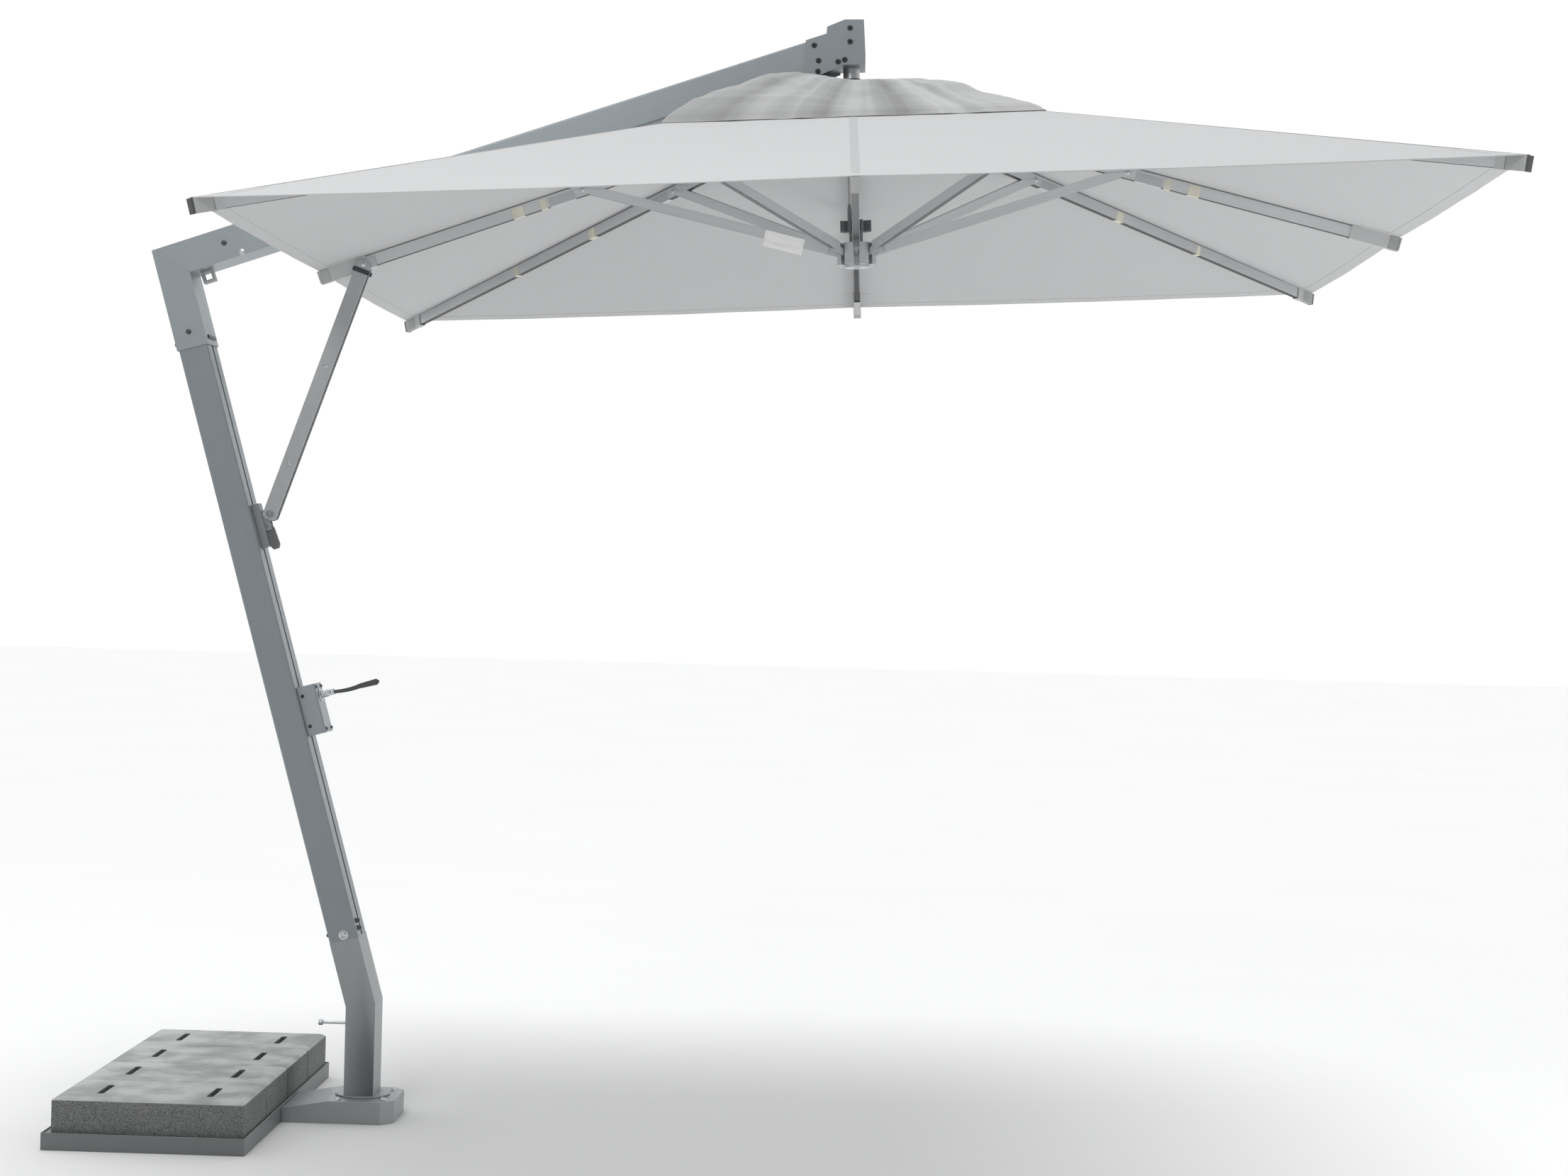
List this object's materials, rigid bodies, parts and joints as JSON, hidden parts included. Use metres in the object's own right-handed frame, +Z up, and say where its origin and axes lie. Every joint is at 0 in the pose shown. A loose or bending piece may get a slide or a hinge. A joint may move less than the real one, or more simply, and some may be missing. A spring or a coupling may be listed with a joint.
{
  "type": "cantilever parasol",
  "caption": "Cantilever garden parasol: square canopy on a folding rib and strut frame, hung from a leaning swivelling mast with a crank hoist, wind brace and ballasted base.",
  "frame": {"origin": "on the ground under the axis of the swivel post, where the foot bracket rests", "axes": "+X from the mast towards the canopy, +Y along the row of ballast slabs, +Z up"},
  "size_m": [3.5603, 3.0106, 3.08],
  "materials": {
    "aluminium": "satin grey coated aluminium profile",
    "silver_aluminium": "satin silver anodised aluminium",
    "painted_steel": "grey powder coat",
    "zinc": "satin zinc plated steel",
    "black_plastic": "fine matt moulded plastic",
    "nylon": "natural nylon",
    "concrete": "cast concrete paving",
    "canopy_fabric": "pale grey woven awning cloth",
    "rope": "braided polyester cord",
    "paper": "blank white tag"
  },
  "bodies": {
    "base": {"base_tray": "painted_steel", "ballast_slab_1": "concrete", "ballast_slab_2": "concrete", "ballast_slab_3": "concrete", "ballast_slab_4": "concrete", "foot_bracket": "painted_steel", "swivel_post": "painted_steel", "swivel_ring": "painted_steel"},
    "mast": {"swivel_bush_lower": "nylon", "swivel_bush_upper": "nylon", "mast_foot": "painted_steel", "mast_profile": "aluminium", "elbow_bracket": "aluminium", "elbow_clip": "nylon", "boom_profile": "aluminium", "boom_head": "aluminium", "head_shaft": "silver_aluminium", "top_hub": "silver_aluminium", "winch_housing": "aluminium", "winch_cover": "aluminium", "hoist_rope": "rope", "vent_cap": "canopy_fabric"},
    "lock_pin": {"swivel_lock_pin": "zinc"},
    "crank": {"crank_shaft": "zinc", "winch_drum": "nylon", "crank_boss": "zinc"},
    "crank_handle": {"crank_handle": "zinc"},
    "crank_grip": {"crank_grip": "black_plastic"},
    "elbow_sheave": {"elbow_sheave": "nylon"},
    "head_sheave": {"head_sheave": "nylon"},
    "carriage": {"brace_carriage": "zinc"},
    "carriage_lever": {"carriage_lever": "black_plastic"},
    "wind_brace": {"wind_brace": "silver_aluminium"},
    "rib_1": {"rib_1": "silver_aluminium", "canopy_panel_1": "canopy_fabric"},
    "strut_1": {"strut_1": "silver_aluminium"},
    "rib_2": {"rib_2": "silver_aluminium", "canopy_panel_2": "canopy_fabric"},
    "strut_2": {"strut_2": "silver_aluminium"},
    "rib_3": {"rib_3": "silver_aluminium", "canopy_panel_3": "canopy_fabric"},
    "strut_3": {"strut_3": "silver_aluminium"},
    "rib_4": {"rib_4": "silver_aluminium", "canopy_panel_4": "canopy_fabric"},
    "strut_4": {"strut_4": "silver_aluminium"},
    "rib_5": {"rib_5": "silver_aluminium", "canopy_panel_5": "canopy_fabric", "brace_saddle": "silver_aluminium"},
    "strut_5": {"strut_5": "silver_aluminium"},
    "rib_6": {"rib_6": "silver_aluminium", "canopy_panel_6": "canopy_fabric"},
    "strut_6": {"strut_6": "silver_aluminium"},
    "rib_7": {"rib_7": "silver_aluminium", "canopy_panel_7": "canopy_fabric"},
    "strut_7": {"strut_7": "silver_aluminium"},
    "rib_8": {"rib_8": "silver_aluminium", "canopy_panel_8": "canopy_fabric"},
    "strut_8": {"strut_8": "silver_aluminium"},
    "lower_hub": {"lower_hub": "silver_aluminium", "hoist_yoke": "painted_steel"}
  },
  "joints": [
    {"name": "mast_swivel", "type": "hinge", "parent": "base", "child": "mast", "pos_m": [0, 0, 0.07], "axis": [0, 0, 1], "continuous": true},
    {"name": "swivel_lock", "type": "slide", "parent": "mast", "child": "lock_pin", "axis": [-1, 0, 0], "range_m": [0, 0.015], "stiffness_N_per_m": 400, "springref_m": -0.005},
    {"name": "canopy_fold", "type": "hinge", "parent": "mast", "child": "rib_1", "pos_m": [1.34779, 0, 2.85406], "axis": [0, 1, 0], "range_deg": [0, 69.41], "deforming": ["canopy_panel_1", "vent_cap", "hoist_rope"]},
    {"name": "strut_1_fold", "type": "hinge", "parent": "rib_1", "child": "strut_1", "pos_m": [2.06506, 0, 2.68159], "axis": [0, -1, 0], "range_deg": [0, 139.65]},
    {"name": "rib_2_fold", "type": "hinge", "parent": "mast", "child": "rib_2", "pos_m": [1.33317, 0.03536, 2.85327], "axis": [-0.7061, 0.7071, -0.0379], "range_deg": [0, 73.94], "deforming": ["canopy_panel_2"]},
    {"name": "strut_2_fold", "type": "hinge", "parent": "rib_2", "child": "strut_2", "pos_m": [1.83884, 0.53387, 2.73315], "axis": [0.7061, -0.7071, 0.0379], "range_deg": [0, 139.38]},
    {"name": "rib_3_fold", "type": "hinge", "parent": "mast", "child": "rib_3", "pos_m": [1.29786, 0.05, 2.85138], "axis": [-0.9986, 0, -0.0536], "range_deg": [0, 69.41], "deforming": ["canopy_panel_3"]},
    {"name": "strut_3_fold", "type": "hinge", "parent": "rib_3", "child": "strut_3", "pos_m": [1.30914, 0.757, 2.64105], "axis": [0.9986, 0, 0.0536], "range_deg": [0, 139.65]},
    {"name": "rib_4_fold", "type": "hinge", "parent": "mast", "child": "rib_4", "pos_m": [1.26256, 0.03536, 2.84949], "axis": [-0.7061, -0.7071, -0.0379], "range_deg": [0, 73.94], "deforming": ["canopy_panel_4"]},
    {"name": "strut_4_fold", "type": "hinge", "parent": "rib_4", "child": "strut_4", "pos_m": [0.77264, 0.53387, 2.67596], "axis": [0.7061, 0.7071, 0.0379], "range_deg": [0, 139.38]},
    {"name": "rib_5_fold", "type": "hinge", "parent": "mast", "child": "rib_5", "pos_m": [1.24794, 0, 2.8487], "axis": [0, -1, 0], "range_deg": [0, 69.41], "deforming": ["canopy_panel_5"]},
    {"name": "strut_5_fold", "type": "hinge", "parent": "rib_5", "child": "strut_5", "pos_m": [0.55323, 0, 2.6005], "axis": [0, 1, 0], "range_deg": [0, 139.65]},
    {"name": "rib_6_fold", "type": "hinge", "parent": "mast", "child": "rib_6", "pos_m": [1.26256, -0.03536, 2.84949], "axis": [0.7061, -0.7071, 0.0379], "range_deg": [0, 73.94], "deforming": ["canopy_panel_6"]},
    {"name": "strut_6_fold", "type": "hinge", "parent": "rib_6", "child": "strut_6", "pos_m": [0.77264, -0.53387, 2.67596], "axis": [-0.7061, 0.7071, -0.0379], "range_deg": [0, 139.38]},
    {"name": "rib_7_fold", "type": "hinge", "parent": "mast", "child": "rib_7", "pos_m": [1.29786, -0.05, 2.85138], "axis": [0.9986, 0, 0.0536], "range_deg": [0, 69.41], "deforming": ["canopy_panel_7"]},
    {"name": "strut_7_fold", "type": "hinge", "parent": "rib_7", "child": "strut_7", "pos_m": [1.30914, -0.757, 2.64105], "axis": [-0.9986, 0, -0.0536], "range_deg": [0, 139.65]},
    {"name": "rib_8_fold", "type": "hinge", "parent": "mast", "child": "rib_8", "pos_m": [1.33317, -0.03536, 2.85327], "axis": [0.7061, 0.7071, 0.0379], "range_deg": [0, 73.94], "deforming": ["canopy_panel_8"]},
    {"name": "strut_8_fold", "type": "hinge", "parent": "rib_8", "child": "strut_8", "pos_m": [1.83884, -0.53387, 2.73315], "axis": [-0.7061, -0.7071, -0.0379], "range_deg": [0, 139.38]},
    {"name": "hub_level", "type": "hinge", "parent": "strut_1", "child": "lower_hub", "pos_m": [1.36975, 0, 2.44465], "axis": [0, 1, 0], "range_deg": [0, 70.23]},
    {"name": "crank_turn", "type": "hinge", "parent": "mast", "child": "crank", "pos_m": [-0.23648, 0, 1.14939], "axis": [0.9622, 0, 0.2723], "range_deg": [0, 2660.4]},
    {"name": "elbow_sheave_turn", "type": "hinge", "parent": "mast", "child": "elbow_sheave", "pos_m": [-0.56889, 0, 2.36378], "axis": [0, 1, 0], "range_deg": [0, 2263.4]},
    {"name": "head_sheave_turn", "type": "hinge", "parent": "mast", "child": "head_sheave", "pos_m": [1.24761, 0, 2.98925], "axis": [0, 1, 0], "range_deg": [0, 2263.4]},
    {"name": "crank_handle_fold", "type": "hinge", "parent": "crank", "child": "crank_handle", "pos_m": [-0.11331, 0, 1.18425], "axis": [0, 1, 0], "range_deg": [0, 90]},
    {"name": "crank_grip_spin", "type": "hinge", "parent": "crank_handle", "child": "crank_grip", "pos_m": [-0.01243, 0, 1.20968], "axis": [0.9622, 0, 0.2723], "continuous": true},
    {"name": "carriage_slide", "type": "slide", "parent": "mast", "child": "carriage", "axis": [-0.2723, 0, 0.9622], "range_m": [-0.3, 0]},
    {"name": "carriage_lever_turn", "type": "hinge", "parent": "carriage", "child": "carriage_lever", "pos_m": [-0.30143, 0, 1.64337], "axis": [0, -1, 0], "range_deg": [0, 60]},
    {"name": "brace_swing", "type": "hinge", "parent": "carriage", "child": "wind_brace", "pos_m": [-0.297, 0, 1.677], "axis": [0, 1, 0], "range_deg": [-13, 60]}
  ],
  "couplings": [
    {"joint": "strut_1_fold", "follows": "canopy_fold", "ratio": 2.0119},
    {"joint": "rib_2_fold", "follows": "canopy_fold", "ratio": 1.0652},
    {"joint": "strut_2_fold", "follows": "canopy_fold", "ratio": 2.0081},
    {"joint": "rib_3_fold", "follows": "canopy_fold", "ratio": 1},
    {"joint": "strut_3_fold", "follows": "canopy_fold", "ratio": 2.0119},
    {"joint": "rib_4_fold", "follows": "canopy_fold", "ratio": 1.0652},
    {"joint": "strut_4_fold", "follows": "canopy_fold", "ratio": 2.0081},
    {"joint": "rib_5_fold", "follows": "canopy_fold", "ratio": 1},
    {"joint": "strut_5_fold", "follows": "canopy_fold", "ratio": 2.0119},
    {"joint": "rib_6_fold", "follows": "canopy_fold", "ratio": 1.0652},
    {"joint": "strut_6_fold", "follows": "canopy_fold", "ratio": 2.0081},
    {"joint": "rib_7_fold", "follows": "canopy_fold", "ratio": 1},
    {"joint": "strut_7_fold", "follows": "canopy_fold", "ratio": 2.0119},
    {"joint": "rib_8_fold", "follows": "canopy_fold", "ratio": 1.0652},
    {"joint": "strut_8_fold", "follows": "canopy_fold", "ratio": 2.0081},
    {"joint": "hub_level", "follows": "canopy_fold", "ratio": 1.0119},
    {"joint": "crank_turn", "follows": "canopy_fold", "ratio": 38.329},
    {"joint": "elbow_sheave_turn", "follows": "canopy_fold", "ratio": 32.609},
    {"joint": "head_sheave_turn", "follows": "canopy_fold", "ratio": 32.609}
  ]
}
